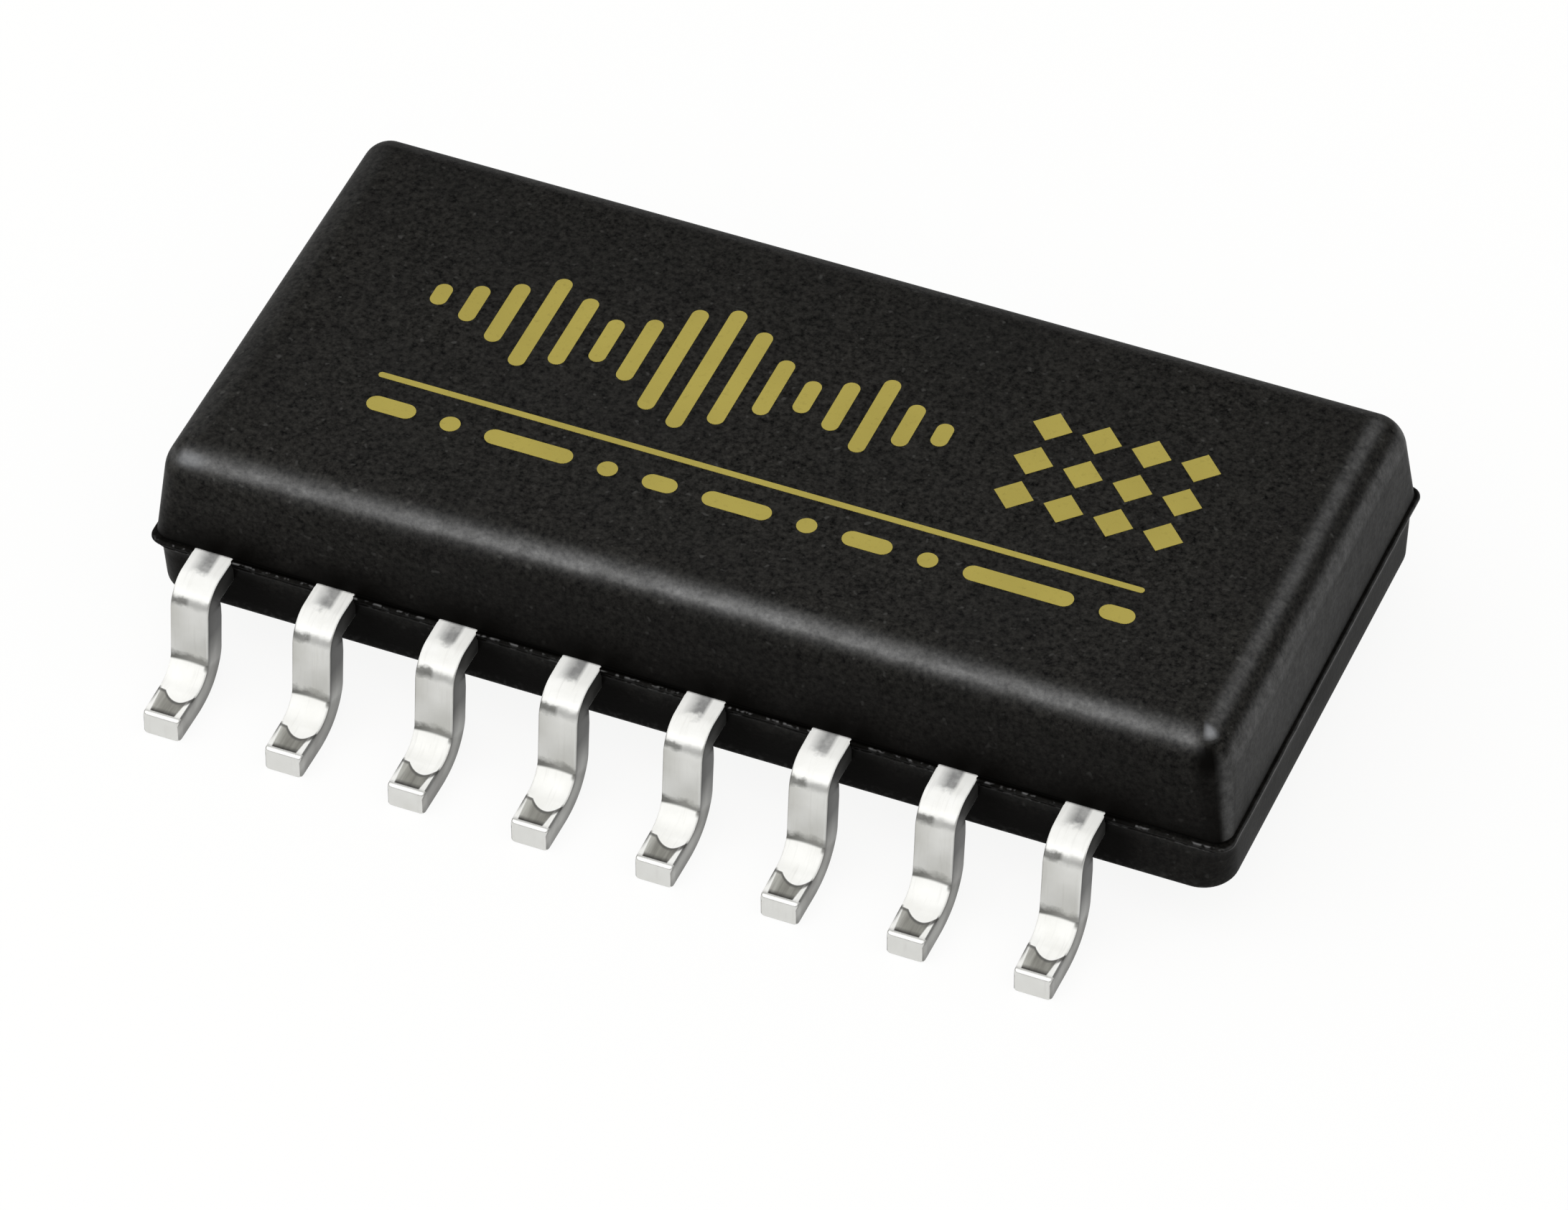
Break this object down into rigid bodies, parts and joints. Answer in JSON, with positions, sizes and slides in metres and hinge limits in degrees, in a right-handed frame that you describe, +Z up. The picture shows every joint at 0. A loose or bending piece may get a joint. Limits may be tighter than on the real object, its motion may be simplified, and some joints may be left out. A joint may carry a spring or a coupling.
{
  "type": "voice chip",
  "caption": "Black moulded small-outline voice chip with gull-wing solder leads along both long sides, holding a die on a lead frame with bond wires inside.",
  "frame": {"origin": "under the middle of the package, on the plane that the feet stand on", "axes": "+X along the rows of leads, +Y across them towards leads 9 to 16, +Z up through the top face"},
  "size_m": [0.011, 0.0078, 0.0024],
  "materials": {
    "mould_compound": "fine sandblasted black epoxy",
    "tin_plate": "bright tin plating on copper alloy",
    "frame_plate": "silver-plated copper alloy",
    "adhesive": "silver-filled epoxy",
    "silicon": "polished silicon",
    "gold_wire": "drawn gold wire"
  },
  "bodies": {
    "root": {"package_body": "mould_compound", "die_pad": "frame_plate", "die_adhesive": "adhesive", "die": "silicon", "lead_1": "tin_plate", "lead_2": "tin_plate", "lead_3": "tin_plate", "lead_4": "tin_plate", "lead_5": "tin_plate", "lead_6": "tin_plate", "lead_7": "tin_plate", "lead_8": "tin_plate", "lead_9": "tin_plate", "lead_10": "tin_plate", "lead_11": "tin_plate", "lead_12": "tin_plate", "lead_13": "tin_plate", "lead_14": "tin_plate", "lead_15": "tin_plate", "lead_16": "tin_plate", "bond_wire_1": "gold_wire", "bond_wire_2": "gold_wire", "bond_wire_3": "gold_wire", "bond_wire_4": "gold_wire", "bond_wire_5": "gold_wire", "bond_wire_6": "gold_wire", "bond_wire_7": "gold_wire", "bond_wire_8": "gold_wire", "bond_wire_9": "gold_wire", "bond_wire_10": "gold_wire", "bond_wire_11": "gold_wire", "bond_wire_12": "gold_wire", "bond_wire_13": "gold_wire", "bond_wire_14": "gold_wire", "bond_wire_15": "gold_wire", "bond_wire_16": "gold_wire"}
  },
  "joints": []
}
